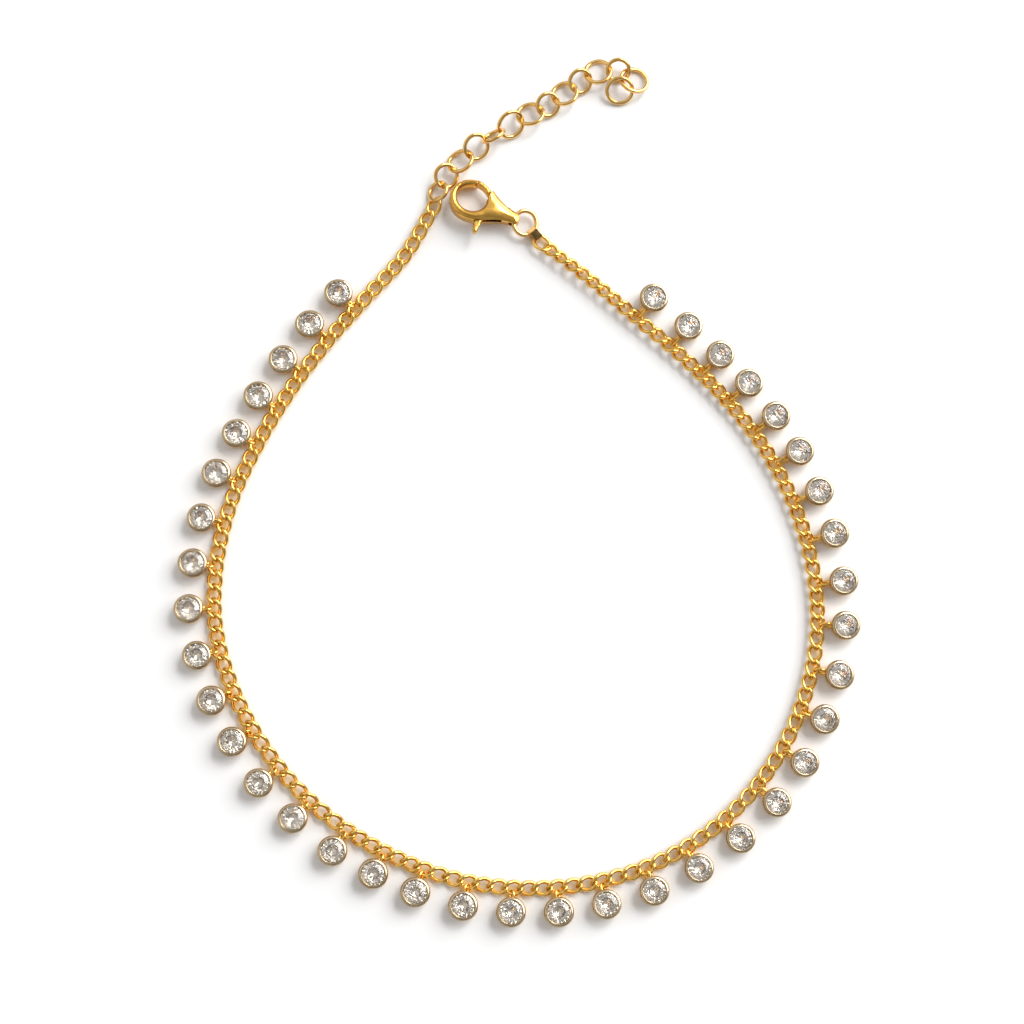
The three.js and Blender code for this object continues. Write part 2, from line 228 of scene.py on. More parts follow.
def metal(name, light, dark, rough_lo, rough_hi, grain=2600.0, bump=0.06, bump_scale=5200.0, coat=0.0,
          patch=900.0):
    """Plated metal: slow shifts of tone, finer shifts of polish, and a faint
    hammered and brushed surface."""
    mat = bpy.data.materials.new(name)
    nt, bsdf = nodes_of(mat)
    coords = nt.nodes.new('ShaderNodeTexCoord')
    tone = nt.nodes.new('ShaderNodeTexNoise')
    tone.inputs['Scale'].default_value = patch
    tone.inputs['Detail'].default_value = 4.0
    tone.inputs['Roughness'].default_value = 0.6
    ramp = nt.nodes.new('ShaderNodeValToRGB')
    ramp.color_ramp.elements[0].position = 0.34
    ramp.color_ramp.elements[0].color = (*dark, 1)
    ramp.color_ramp.elements[1].position = 0.62
    ramp.color_ramp.elements[1].color = (*light, 1)
    nt.links.new(coords.outputs['Object'], tone.inputs['Vector'])
    nt.links.new(tone.outputs['Fac'], ramp.inputs['Fac'])
    nt.links.new(ramp.outputs['Color'], bsdf.inputs['Base Color'])
    polish = nt.nodes.new('ShaderNodeTexNoise')
    polish.inputs['Scale'].default_value = grain
    polish.inputs['Detail'].default_value = 3.0
    spread = nt.nodes.new('ShaderNodeMapRange')
    spread.inputs['From Min'].default_value = 0.35
    spread.inputs['From Max'].default_value = 0.65
    spread.inputs['To Min'].default_value = rough_lo
    spread.inputs['To Max'].default_value = rough_hi
    nt.links.new(coords.outputs['Object'], polish.inputs['Vector'])
    nt.links.new(polish.outputs['Fac'], spread.inputs['Value'])
    nt.links.new(spread.outputs['Result'], bsdf.inputs['Roughness'])
    fine = nt.nodes.new('ShaderNodeTexNoise')
    fine.inputs['Scale'].default_value = bump_scale
    fine.inputs['Detail'].default_value = 5.0
    rise = nt.nodes.new('ShaderNodeBump')
    rise.inputs['Strength'].default_value = bump
    rise.inputs['Distance'].default_value = 0.00004
    nt.links.new(coords.outputs['Object'], fine.inputs['Vector'])
    nt.links.new(fine.outputs['Fac'], rise.inputs['Height'])
    nt.links.new(rise.outputs['Normal'], bsdf.inputs['Normal'])
    bsdf.inputs['Metallic'].default_value = 1.0
    if coat:
        bsdf.inputs['Coat Weight'].default_value = coat
        bsdf.inputs['Coat Roughness'].default_value = 0.08
    return mat


chain_gold = metal('chain_gold', (0.93, 0.595, 0.155), (0.76, 0.44, 0.088), 0.09, 0.20, coat=0.25)
ring_gold = metal('ring_gold', (0.92, 0.59, 0.205), (0.80, 0.47, 0.14), 0.10, 0.22, coat=0.25, patch=700.0)
clasp_gold = metal('clasp_gold', (0.80, 0.46, 0.102), (0.66, 0.35, 0.066), 0.13, 0.21, coat=0.08, patch=420.0,
                   bump=0.04, bump_scale=3600.0)
rim_gold = metal('rim_gold', (0.65, 0.51, 0.335), (0.47, 0.35, 0.20), 0.12, 0.24, coat=0.3, patch=600.0)
# darker brown for the rim's outer side: a painted dark reflection of the low surroundings
rim_side_painted_reflection = metal('rim_side_painted_reflection', (0.46, 0.325, 0.135), (0.30, 0.20, 0.075), 0.14, 0.26, coat=0.2, patch=600.0)
wall_gold = metal('wall_gold', (0.88, 0.58, 0.23), (0.77, 0.47, 0.155), 0.16, 0.28, coat=0.2, patch=600.0)
cut_gold = metal('cut_gold', (0.14, 0.09, 0.032), (0.065, 0.042, 0.015), 0.50, 0.72, grain=5200.0,
                 bump=0.5, bump_scale=6500.0, patch=2600.0)


def stone_material():
    mat = bpy.data.materials.new('brilliant_stone')
    nt, bsdf = nodes_of(mat)
    coords = nt.nodes.new('ShaderNodeTexCoord')
    noise = nt.nodes.new('ShaderNodeTexNoise')
    noise.inputs['Scale'].default_value = 900.0
    noise.inputs['Detail'].default_value = 3.0
    ramp = nt.nodes.new('ShaderNodeValToRGB')
    ramp.color_ramp.elements[0].position = 0.35
    ramp.color_ramp.elements[0].color = (0.86, 0.75, 0.62, 1)
    ramp.color_ramp.elements[1].position = 0.65
    ramp.color_ramp.elements[1].color = (0.95, 0.87, 0.76, 1)
    nt.links.new(coords.outputs['Object'], noise.inputs['Vector'])
    nt.links.new(noise.outputs['Fac'], ramp.inputs['Fac'])
    nt.links.new(ramp.outputs['Color'], bsdf.inputs['Base Color'])
    wear = nt.nodes.new('ShaderNodeMapRange')
    wear.inputs['From Min'].default_value = 0.3
    wear.inputs['From Max'].default_value = 0.7
    wear.inputs['To Min'].default_value = 0.0
    wear.inputs['To Max'].default_value = 0.02
    nt.links.new(noise.outputs['Fac'], wear.inputs['Value'])
    nt.links.new(wear.outputs['Result'], bsdf.inputs['Roughness'])
    # small uneven facets that scatter the light
    cells = nt.nodes.new('ShaderNodeTexVoronoi')
    cells.inputs['Scale'].default_value = 3300.0
    facet = nt.nodes.new('ShaderNodeBump')
    facet.inputs['Strength'].default_value = 0.55
    facet.inputs['Distance'].default_value = 0.00006
    nt.links.new(coords.outputs['Object'], cells.inputs['Vector'])
    nt.links.new(cells.outputs['Distance'], facet.inputs['Height'])
    nt.links.new(facet.outputs['Normal'], bsdf.inputs['Normal'])
    bsdf.inputs['Transmission Weight'].default_value = 0.95
    bsdf.inputs['IOR'].default_value = 2.1
    return mat


stone_clear = stone_material()


# ---------------------------------------------------------------- chain
WIRE = 0.45
HALF_WIDTH = 0.725
TWIST = math.radians(-50)
SLANT = math.radians(4)         # each link's own turn on the surface


def stations():
    """Middles of the links along the route: a link at every cup's place and
    two between neighbours, then the plain ends."""
    out = []
    first, last = CHARMS[0][0], CHARMS[-1][0]
    head, tail = 0.28, route.length
    for i in range(9):
        out.append(head + (first - head) * i / 9)
    for (a, _), (b, _) in zip(CHARMS, CHARMS[1:]):
        out += [a, a + (b - a) / 3, a + 2 * (b - a) / 3]
    out.append(last)
    for i in range(1, 10):
        out.append(last + (tail - last) * i / 9)
    return out


def roll_at(s):
    """How far the chain is turned about its own line: flat on the left,
    inner edge up round the bottom and the right, and turned more near the
    clasp."""
    keys = [(0, 16), (10, 6), (40, 4), (58, 6), (72, 13), (95, 17), (115, 15), (140, 15), (165, 17),
            (190, 20), (200, 27), (205, 38), (209, 42), (211.5, 34), (213, 20)]
    for (s0, a0), (s1, a1) in zip(keys, keys[1:]):
        if s <= s1:
            u = min(max((s - s0) / (s1 - s0), 0), 1)
            u = u * u * (3 - 2 * u)
            return math.radians(a0 + (a1 - a0) * u)
    return 0.0


LINK_STEPS = 30
LINK_SIDES = 10
marks = stations()
links = []
for i, s in enumerate(marks):
    before = s - marks[i - 1] if i else marks[1] - marks[0]
    after = marks[i + 1] - s if i + 1 < len(marks) else s - marks[i - 1]
    pitch = (before + after) / 2
    half = (pitch + WIRE) / 2 + 0.012
    width = HALF_WIDTH
    twist = TWIST
    power = 2.1
    slant = SLANT
    if i == len(marks) - 1:
        width, twist, power, slant = 0.80, TWIST * 0.25, 2.5, 0.0
    roll = roll_at(s) + math.radians(rng.uniform(-4, 4))
    p, t = route.at(s)
    inner = Vector((-t.y, t.x, 0))          # left of the way round is the loop's inside
    line = []
    for k in range(LINK_STEPS):
        a = 2 * math.pi * k / LINK_STEPS
        c, sn = math.cos(a), math.sin(a)
        g = (abs(c) ** power + abs(sn) ** power) ** (-1 / power)
        x, y0 = half * c * g, width * sn * g
        turn = twist * x / half + roll
        y = y0 * math.cos(turn)
        line.append((x * math.cos(slant) - y * math.sin(slant), x * math.sin(slant) + y * math.cos(slant),
                     y0 * math.sin(turn)))
    low = min(q[2] for q in line) - WIRE / 2
    rise = max(0.02 - low, 0.0) + 0.05 + rng.uniform(0, 0.03)
    if i >= len(marks) - 2:
        rise = max(rise, 0.74)
    if i == 0:
        rise = max(rise, 0.62)
    links.append({"p": p, "t": t, "inner": inner, "rise": rise, "line": line, "roll": roll, "half": half,
                  "width": width})

chain_pile = Pile()
for link in links:
    pts = [link["p"] + link["t"] * x + link["inner"] * y + Vector((0, 0, link["rise"] + z))
           for x, y, z in link["line"]]
    n = len(pts)
    middle = link["p"] + Vector((0, 0, link["rise"]))
    up = Vector((0, 0, 1)) * math.cos(link["roll"]) - link["inner"] * math.sin(link["roll"])
    v, f = ring_of_wire(pts, WIRE, [up] * n, sides=LINK_SIDES, power=2.3)
    chain_pile.add(v, f)
chain = chain_pile.to_object('chain_links', [chain_gold])
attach(chain, 'root')
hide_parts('chain')

# ---------------------------------------------------------------- cups, stones, loops
CUP_PROFILE = [
    (0.0, 0.02), (0.60, 0.03), (1.00, 0.08), (1.22, 0.17), (1.38, 0.32), (1.50, 0.52), (1.59, 0.78),
    (1.645, 1.04), (1.674, 1.22), (1.682, 1.34), (1.676, 1.43), (1.655, 1.515), (1.618, 1.59),
    (1.565, 1.65), (1.500, 1.69), (1.430, 1.712), (1.375, 1.72), (1.340, 1.714), (1.320, 1.69),
    (1.308, 1.64), (1.300, 1.54), (1.26, 1.44), (1.18, 1.30), (0.80, 0.86), (0.40, 0.40), (0.0, 0.16),
]
RIM_FROM, SIDE_TO, RIM_TO = 8, 12, 21        # rows of the profile: rim's outer side, darker with a painted dark reflection, then rim's top
CUP_SEGMENTS = 44


def brilliant(radius, table, girdle_z, crown, pavilion):
    """Round brilliant: table, stars, kites, upper and lower halves, mains."""
    v, f = [], []

    def ring(r, z, n, shift):
        ids = []
        for i in range(n):
            a = 2 * math.pi * (i + shift) / n
            ids.append(len(v))
            v.append((r * math.cos(a), r * math.sin(a), z))
        return ids

    tab = ring(table, girdle_z + crown, 8, 0.0)
    star = ring(table + (radius - table) * 0.46, girdle_z + crown * 0.58, 8, 0.5)
    up = ring(radius, girdle_z + 0.03, 16, 0.0)
    low = ring(radius, girdle_z - 0.03, 16, 0.0)
    mid = ring(radius * 0.24, girdle_z - pavilion * 0.78, 8, 0.5)
    v.append((0, 0, girdle_z - pavilion))
    culet = len(v) - 1
    f.append(tuple(tab))
    for i in range(8):
        j = (i + 1) % 8
        h = (i - 1) % 8
        f.append((tab[i], star[i], tab[j]))                       # star facet
        f.append((tab[i], star[h], up[2 * i]))                    # kite, in two flat halves
        f.append((tab[i], up[2 * i], star[i]))
        f.append((star[i], up[2 * i], up[2 * i + 1]))             # upper halves
        f.append((star[i], up[2 * i + 1], up[(2 * i + 2) % 16]))
        f.append((mid[i], low[(2 * i + 1) % 16], low[2 * i]))     # lower halves
        f.append((mid[i], low[(2 * i + 2) % 16], low[2 * i + 1]))
        f.append((mid[h], mid[i], low[2 * i]))                    # mains
        f.append((culet, mid[i], mid[h]))
    for i in range(16):
        j = (i + 1) % 16
        f.append((low[i], low[j], up[j], up[i]))
    return v, f


cups, stones, loops = Pile(), Pile(), Pile()
for i, (s, out) in enumerate(CHARMS):
    p, t = route.at(s)
    outward = Vector((t.y, -t.x, 0))
    link = links[9 + 3 * i]
    centre = p + outward * out
    spin = rng.uniform(0, 2 * math.pi)
    if out > 2.86 and i > 20:
        lean, lean_way = math.radians(rng.uniform(6.5, 8.5)), math.radians(rng.uniform(-10, 12))
    else:
        lean, lean_way = math.radians(rng.uniform(5.0, 7.5)), math.radians(rng.uniform(25, 75))
    axis = Vector((-math.sin(lean_way), math.cos(lean_way), 0))
    back = Vector((math.cos(lean_way), math.sin(lean_way), 0)) * (1.25 * math.sin(lean))
    drop = max(0.0, 0.012 - min(z * math.cos(lean) - r * math.sin(lean) for r, z in CUP_PROFILE))
    m = Matrix.Translation(centre - back + Vector((0, 0, drop))) @ Matrix.Rotation(lean, 4, axis)
    ph1, ph2 = rng.uniform(0, 6.28), rng.uniform(0, 6.28)
    size = rng.uniform(0.985, 1.01)

    def wobble(a):
        return size * (1 + 0.006 * math.sin(2 * a + ph1) + 0.004 * math.sin(3 * a + ph2))

    v, f = lathe(CUP_PROFILE, CUP_SEGMENTS, wobble)
    n0 = len(cups.v)
    cups.add(v, f, m, 1)
    for k in range(len(f)):
        row = k // CUP_SEGMENTS
        if RIM_FROM <= row < RIM_TO:
            # the rim's outer side rows take the painted dark reflection, the rim's top the pale rim metal
            cups.m[len(cups.m) - len(f) + k] = 2 if row < SIDE_TO else 0
    # the stone
    v, f = brilliant(1.305, 0.76, 1.55, 0.36, 1.02)
    stones.add(v, f, m @ Matrix.Rotation(spin, 4, 'Z'), 0, flat=True)
    # the soldered loop, round the outer side of its link
    wire_z = link["rise"] - link["width"] * math.sin(link["roll"])
    wire_out = link["width"] * math.cos(link["roll"])
    inner_end = out - wire_out + 0.37                    # measured in from the cup's middle
    outer_end = 1.38
    mid_r = (inner_end + outer_end) / 2
    half_l = (inner_end - outer_end) / 2
    half_s = 0.31
    tilt = math.radians(rng.choice([-1, 1]) * rng.uniform(28, 48))
    across = t * math.sin(tilt) + Vector((0, 0, 1)) * math.cos(tilt)
    z_in = max(wire_z + 0.04, 0.50)
    z_out = 0.66
    pts = []
    for k in range(22):
        a = 2 * math.pi * k / 22
        c, sn = math.cos(a), math.sin(a)
        u = 0.5 + 0.5 * c
        pts.append(centre - outward * (mid_r + half_l * c) + Vector((0, 0, z_out + (z_in - z_out) * u))
                   + across * (half_s * sn))
    normal = outward.cross(across).normalized()
    v, f = ring_of_wire(pts, 0.41, [normal] * 22, sides=10)
    loops.add(v, f)

charm_nodes = ["charm_%02d" % (i + 1) for i in range(len(CHARMS))]
cup_obj = cups.to_object('bezel_cups', [rim_gold, wall_gold, rim_side_painted_reflection])
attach(cup_obj, 'root')
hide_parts(*charm_nodes)
stone_obj = stones.to_object('brilliant_stones', [stone_clear])
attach(stone_obj, 'root')
loop_obj = loops.to_object('cup_loops', [chain_gold])
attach(loop_obj, 'root')


# ---------------------------------------------------------------- rings
def round_ring(name, od, x, y, z, tilt, faces, node, wire=0.45, steps=56, squash=1.0):
    tilt, faces = math.radians(tilt), math.radians(faces)
    along = Vector((math.cos(faces), math.sin(faces), 0))
    n = Vector((math.sin(tilt) * math.cos(faces), math.sin(tilt) * math.sin(faces), math.cos(tilt)))
    q = Vector((0, 0, 1)).rotation_difference(n).to_matrix()
    a1, a2, a3 = (rng.uniform(0, 6.28) for _ in range(3))
    pts, ups = [], []
    r = (od + 0.03 - wire) / 2
    z = max(z, r * 1.01 * math.sin(tilt) + wire / 2 + 0.025)
    for k in range(steps):
        a = 2 * math.pi * k / steps
        rr = r * (1 + 0.010 * math.sin(2 * a + a1) + 0.006 * math.sin(3 * a + a2) + 0.004 * math.sin(5 * a + a3))
        flat = Vector((rr * math.cos(a), rr * math.sin(a), 0.02 * math.sin(2 * a + a3)))
        flat -= along * (flat.dot(along) * (1 - squash))
        pts.append(Vector((x, y, z)) + q @ flat)
        ups.append(n)
    v, f = ring_of_wire(pts, wire, ups, sides=14, power=2.9)
    pile = Pile()
    pile.add(v, f)
    obj = pile.to_object(name, [ring_gold])
    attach(obj, 'root')
    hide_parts(node)
    return obj


for i, row in enumerate(EXTENDER):
    round_ring('extender_ring_%02d' % (i + 1), *row, 'ext_ring_%02d' % (i + 1))

ring_at = Vector((1.53, 33.96, 1.00))
round_ring('clasp_jump_ring', 3.40, ring_at.x, ring_at.y, ring_at.z, 12, 340, 'clasp_ring', wire=0.52, squash=0.93)


# ---------------------------------------------------------------- clasp
def quad(p, c, q, n):
    return [((1 - u) ** 2 * p[0] + 2 * u * (1 - u) * c[0] + u * u * q[0],
             (1 - u) ** 2 * p[1] + 2 * u * (1 - u) * c[1] + u * u * q[1])
            for u in (k / n for k in range(n))]


HOOK = (0.12, 0.16)              # middle of the hook's round end
HOOK_R = 2.46


def clasp_outline():
    hx, hy = HOOK
    p = quad((-5.98, -0.46), (-6.22, 0), (-5.98, 0.40), 12)
    p += quad((-5.98, 0.40), (-5.70, 0.66), (-5.00, 0.74), 12)
    p += quad((-5.00, 0.74), (-3.60, 1.10), (-2.10, 2.10), 30)
    p += quad((-2.10, 2.10), (-1.10, hy + HOOK_R), (hx, hy + HOOK_R), 22)
    p += [(hx + HOOK_R * math.sin(a), hy + HOOK_R * math.cos(a)) for a in (math.pi * k / 70 for k in range(70))]
    p += quad((hx, hy - HOOK_R), (-1.05, hy - HOOK_R), (-2.05, -1.95), 22)
    p += quad((-2.05, -1.95), (-3.40, -1.16), (-5.00, -0.84), 30)
    p += quad((-5.00, -0.84), (-5.70, -0.74), (-5.98, -0.46), 12)
    return p


def eye_outline():
    return [(0.02 + 1.74 * math.cos(a), 0.02 + 1.54 * math.sin(a)) for a in (2 * math.pi * k / 90 for k in range(90))]


def lever_outline():
    rows = [((-1.50, 2.30), (-1.62, 3.00), (-1.80, 3.62)), ((-1.80, 3.62), (-2.02, 3.86), (-2.32, 3.66)),
            ((-2.32, 3.66), (-2.34, 3.00), (-2.20, 2.20)), ((-2.20, 2.20), (-2.50, 1.20), (-3.02, 0.10)),
            ((-3.02, 0.10), (-3.24, -0.60), (-2.76, -1.02)), ((-2.76, -1.02), (-2.48, -1.19), (-2.20, -1.36)),
            ((-2.20, -1.36), (-1.30, -2.30), (0.38, -2.355)), ((0.38, -2.355), (0.32, -2.00), (0.26, -1.665)),
            ((0.26, -1.665), (-0.90, -1.70), (-1.66, -0.90)), ((-1.66, -0.90), (-1.96, -0.40), (-1.84, 0.60)),
            ((-1.84, 0.60), (-1.72, 1.50), (-1.50, 2.30))]
    p = []
    for a, c, b in rows:
        p += quad(a, c, b, 9)
    return p


def near(points, loops_):
    """Distance from each point to the nearest of the closed outlines."""
    pts = np.asarray(points, float)
    best = np.full(len(pts), 1e9)
    for loop in loops_:
        a = np.asarray(loop, float)
        b = np.roll(a, -1, axis=0)
        d = b - a
        ll = np.maximum((d ** 2).sum(1), 1e-18)
        for i in range(len(a)):
            u = np.clip(((pts - a[i]) @ d[i]) / ll[i], 0, 1)
            q = a[i] + u[:, None] * d[i]
            best = np.minimum(best, np.linalg.norm(pts - q, axis=1))
    return best


def inside(points, loop):
    pts = np.asarray(points, float)
    a = np.asarray(loop, float)
    b = np.roll(a, -1, axis=0)
    hit = np.zeros(len(pts), bool)
    for (x0, y0), (x1, y1) in zip(a, b):
        cond = (y0 > pts[:, 1]) != (y1 > pts[:, 1])
        xs = (x1 - x0) * (pts[:, 1] - y0) / (y1 - y0 if abs(y1 - y0) > 1e-12 else 1e-12) + x0
        hit ^= cond & (pts[:, 0] < xs)
    return hit


def pillow(outer, holes, height, offsets, grid):
    """A closed solid over a flat outline: its faces swell to height(x, y, a, b)
    on both sides, a and b being the distances from the outline and the holes."""
    edges_all = [outer] + holes
    coords, edges = [], []
    for loop in edges_all:
        base = len(coords)
        coords += loop
        edges += [(base + i, base + (i + 1) % len(loop)) for i in range(len(loop))]
    rim = len(coords)
    extra = []
    for loop in edges_all:
        a = np.asarray(loop, float)
        t = np.roll(a, -1, axis=0) - np.roll(a, 1, axis=0)
        t /= np.linalg.norm(t, axis=1)[:, None]
        n = np.stack([-t[:, 1], t[:, 0]], 1)
        for k, off in enumerate(offsets):
            for sign in (1, -1):
                q = a + n * off * sign
                if k > 2:
                    q = q[k % 2::2]
                extra += [tuple(r) for r in q]
    extra = np.array(extra)
    keep = inside(extra, outer)
    for h in holes:
        keep &= ~inside(extra, h)
    extra = extra[keep]
    d = near(extra, edges_all)
    want = np.zeros(len(extra), bool)
    for off in offsets:
        want |= np.abs(d - off) < off * 0.04 + 1e-4
    extra = extra[want]
    lo, hi = np.min(np.asarray(outer), 0), np.max(np.asarray(outer), 0)
    gx, gy = np.meshgrid(np.arange(lo[0], hi[0], grid), np.arange(lo[1], hi[1], grid * 0.866))
    gx = gx + (np.arange(gx.shape[0])[:, None] % 2) * grid / 2
    cells = np.stack([gx.ravel(), gy.ravel()], 1)
    keep = inside(cells, outer)
    for h in holes:
        keep &= ~inside(cells, h)
    cells = cells[keep]
    cells = cells[near(cells, edges_all) > offsets[-1] + grid * 0.45]
    coords = [Vector(c) for c in coords] + [Vector(c) for c in extra] + [Vector(c) for c in cells]
    verts2, _, tris, _, _, _ = delaunay_2d_cdt(coords, edges, [], 0, 1e-5)
    flat = np.array([tuple(p) for p in verts2])
    tri = np.array(tris)
    mid = flat[tri].mean(axis=1)
    keep = inside(mid, outer)
    for h in holes:
        keep &= ~inside(mid, h)
    tri = tri[keep]
    dist = near(flat, edges_all)
    dist[dist < 2e-4] = 0
    d_out = near(flat, [outer])
    d_in = near(flat, holes)
    z = np.array([height(x, y, a, b) for (x, y), a, b in zip(flat, d_out, d_in)])
    on_rim = dist == 0
    n = len(flat)
    verts = [(x, y, zz) for (x, y), zz in zip(flat, z)] + [(x, y, -zz) for (x, y), zz in zip(flat, z)]
    faces = [tuple(t) for t in tri] + [tuple(n + q for q in t[::-1]) for t in tri]
    used = {}
    for t in tri:
        for a, b in ((t[0], t[1]), (t[1], t[2]), (t[2], t[0])):
            used[(a, b)] = used.get((a, b), 0) + 1
    for (a, b) in list(used):
        if (b, a) not in used:
            faces.append((b, a, n + a, n + b))
    return verts, faces


def rounded(d, r):
    u = min(d / r, 1.0)
    return math.sqrt(max(1 - (1 - u) ** 2, 0.0))


def smooth(u):
    u = min(max(u, 0.0), 1.0)
    return u * u * (3 - 2 * u)


def clasp_height(x, y, a, b):
    # thick round the hook, thinner to the tail, domed over the cheeks; the
    # thumb side has a tall wall, the gate side a low one
    full = 0.90 - 0.22 * smooth((-2.6 - x) / 2.8)
    wall = 0.30 + 0.22 * smooth((y + 1.2) / 2.4)
    dome = 0.44 + 0.75 * smooth((-1.3 - x) / 1.2)
    outer_rise = wall + (full - wall) * rounded(a, dome)
    inner_rise = 0.24 + (full - 0.24) * rounded(b, 0.46)
    return min(outer_rise, inner_rise)


def lever_height(x, y, a, b):
    d = min(a, b)
    slim = 0.15 + 0.08 * rounded(d, 0.10)
    stout = 0.28 + 0.22 * rounded(d, 0.26)
    gate = smooth((x + 1.72) / 0.40) * smooth((-0.9 - y) / 0.3)
    tab = 0.75 * smooth((y - 2.78) / 0.25)
    return slim + (stout - slim) * max(gate, tab)


def mesh_object(name, verts, faces, materials):
    mesh = bpy.data.meshes.new(name)
    mesh.from_pydata(verts, [], faces)
    mesh.validate()
    for m in materials:
        mesh.materials.append(m)
    obj = bpy.data.objects.new(name, mesh)
    bpy.context.scene.collection.objects.link(obj)
    return obj


def box_mesh(x0, x1, y0, y1, z0, z1):
    v = [(x, y, z) for x in (x0, x1) for y in (y0, y1) for z in (z0, z1)]
    f = [(0, 1, 3, 2), (4, 6, 7, 5), (0, 4, 5, 1), (2, 3, 7, 6), (0, 2, 6, 4), (1, 5, 7, 3)]
    return v, f


def prism(points, z0, z1):
    n = len(points)
    v = [(x, y, z0) for x, y in points] + [(x, y, z1) for x, y in points]
    f = [tuple(range(n))[::-1], tuple(range(n, 2 * n))]
    f += [(i, (i + 1) % n, n + (i + 1) % n, n + i) for i in range(n)]
    return v, f


def cylinder_y(x, z, r, half, n):
    """A round bar along Y."""
    v = [(x + r * math.cos(2 * math.pi * k / n), sgn * half, z + r * math.sin(2 * math.pi * k / n))
         for sgn in (-1, 1) for k in range(n)]
    f = [tuple(range(n)), tuple(range(n, 2 * n))[::-1]]
    f += [(i, n + i, n + (i + 1) % n, (i + 1) % n) for i in range(n)]
    return v, f


def cut(obj, shapes, operation='DIFFERENCE'):
    """Boolean with each of the shapes, applied to the mesh."""
    for v, f in shapes:
        tool = mesh_object('cutter', v, f, [])
        bm = bmesh.new()
        bm.from_mesh(tool.data)
        bmesh.ops.recalc_face_normals(bm, faces=bm.faces)
        bm.to_mesh(tool.data)
        bm.free()
        mod = obj.modifiers.new('cut', 'BOOLEAN')
        mod.operation = operation
        mod.solver = 'EXACT'
        mod.object = tool
        dg = bpy.context.evaluated_depsgraph_get()
        dg.update()
        new = bpy.data.meshes.new_from_object(obj.evaluated_get(dg))
        obj.modifiers.clear()
        old = obj.data
        obj.data = new
        bpy.data.meshes.remove(old)
        data = tool.data
        bpy.data.objects.remove(tool)
        bpy.data.meshes.remove(data)


def shade_by_angle(mesh, degrees_):
    bm = bmesh.new()
    bm.from_mesh(mesh)
    for f in bm.faces:
        f.smooth = True
    for e in bm.edges:
        e.smooth = not (len(e.link_faces) == 2 and e.calc_face_angle(0) > math.radians(degrees_))
    bm.to_mesh(mesh)
    bm.free()


def settle(obj, matrix):
    """Moves the mesh from its own millimetre frame to its place in metres."""
    move = Matrix.Diagonal((0.001, 0.001, 0.001, 1)) @ Matrix.Translation(OFFSET) @ matrix
    obj.data.transform(move)
    obj.data.update()


def tidy(obj):
    bm = bmesh.new()
    bm.from_mesh(obj.data)
    bmesh.ops.remove_doubles(bm, verts=bm.verts, dist=1e-4)
    bmesh.ops.dissolve_degenerate(bm, dist=1e-5, edges=bm.edges)
    bmesh.ops.recalc_face_normals(bm, faces=bm.faces)
    bmesh.ops.triangulate(bm, faces=[f for f in bm.faces if len(f.verts) > 4])
    bm.to_mesh(obj.data)
    bm.free()


outline, eye = clasp_outline(), eye_outline()
offs = [0.015, 0.045, 0.09, 0.15, 0.225, 0.31, 0.40]
v, f = pillow(outline, [eye], clasp_height, offs, 0.115)
body = mesh_object('clasp_body_shell', v, f, [clasp_gold])
tidy(body)
gate_room = []
reach = 2.97 + 0.10
px, py = -2.45, -0.35
for k in range(61):
    x = -1.80 + (0.62 + 1.80) * k / 60
    inside_circle = reach ** 2 - (x - px) ** 2
    if inside_circle > 0:
        gate_room.append((x, max(py - math.sqrt(inside_circle), -3.5)))
gate_room = gate_room + [(gate_room[-1][0], -0.60), (-1.80, -0.60)]
cut(body, [
    prism(gate_room, -2, 2),
    box_mesh(-4.30, -1.38, -4, 4, -0.02, 0.56),
    cylinder_y(-5.48, 0, 0.40, 3, 28),
])
pin = prism([(px + 0.26 * math.cos(2 * math.pi * k / 20), py + 0.26 * math.sin(2 * math.pi * k / 20))
             for k in range(20)], -0.62, 0.62)
cut(body, [pin], 'UNION')
tidy(body)
shade_by_angle(body.data, 38)
settle(body, CLASP_PLACE)
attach(body, 'root')
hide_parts('clasp_body')

v, f = pillow(lever_outline(), [[(px + 0.34 * math.cos(-2 * math.pi * k / 24), py + 0.34 * math.sin(-2 * math.pi * k / 24))
                                 for k in range(24)]], lever_height, [0.02, 0.06, 0.11], 0.14)
lever = mesh_object('clasp_gate', v, f, [clasp_gold])
tidy(lever)
shade_by_angle(lever.data, 50)
settle(lever, CLASP_PLACE @ Matrix.Translation((0, 0, 0.27)))
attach(lever, 'clasp_lever')
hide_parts('clasp_lever')

# ---------------------------------------------------------------- end link
END_L, END_H, END_W = 1.74, 1.46, 1.02
c = 0.34
side = [(c, 0), (END_L - c, 0), (END_L, c), (END_L, END_H - 0.12), (END_L - 0.12, END_H), (0.60, END_H),
        (0, END_H - 0.62), (0, c)]
v, f = prism(side, -END_W / 2, END_W / 2)
tag = mesh_object('end_tag', v, f, [ring_gold, cut_gold])
hole = [(END_L / 2 + 0.02 + (END_L / 2 - 0.24) * math.cos(2 * math.pi * k / 36),
         END_H / 2 + 0.02 + (END_H / 2 - 0.28) * math.sin(2 * math.pi * k / 36)) for k in range(36)]
cut(tag, [prism(hole, -2, 2)])
tidy(tag)
bm = bmesh.new()
bm.from_mesh(tag.data)
sharp = [e for e in bm.edges if len(e.link_faces) == 2 and e.calc_face_angle(0) > math.radians(30)]
bmesh.ops.bevel(bm, geom=sharp, offset=0.045, segments=3, profile=0.6, affect='EDGES', clamp_overlap=True)
bm.to_mesh(tag.data)
bm.free()
for poly in tag.data.polygons:
    if poly.center.y > END_H - 0.06 and poly.normal.y > 0.9:
        poly.material_index = 1
shade_by_angle(tag.data, 32)
heading = math.radians(-50)
tag_place = (Matrix.Translation((ring_at.x + math.cos(heading) * 0.86, ring_at.y + math.sin(heading) * 0.86, 0.02))
             @ Matrix.Rotation(heading, 4, 'Z') @ Matrix.Rotation(math.pi / 2, 4, 'X'))
settle(tag, tag_place)
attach(tag, 'root')
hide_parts('end_link')

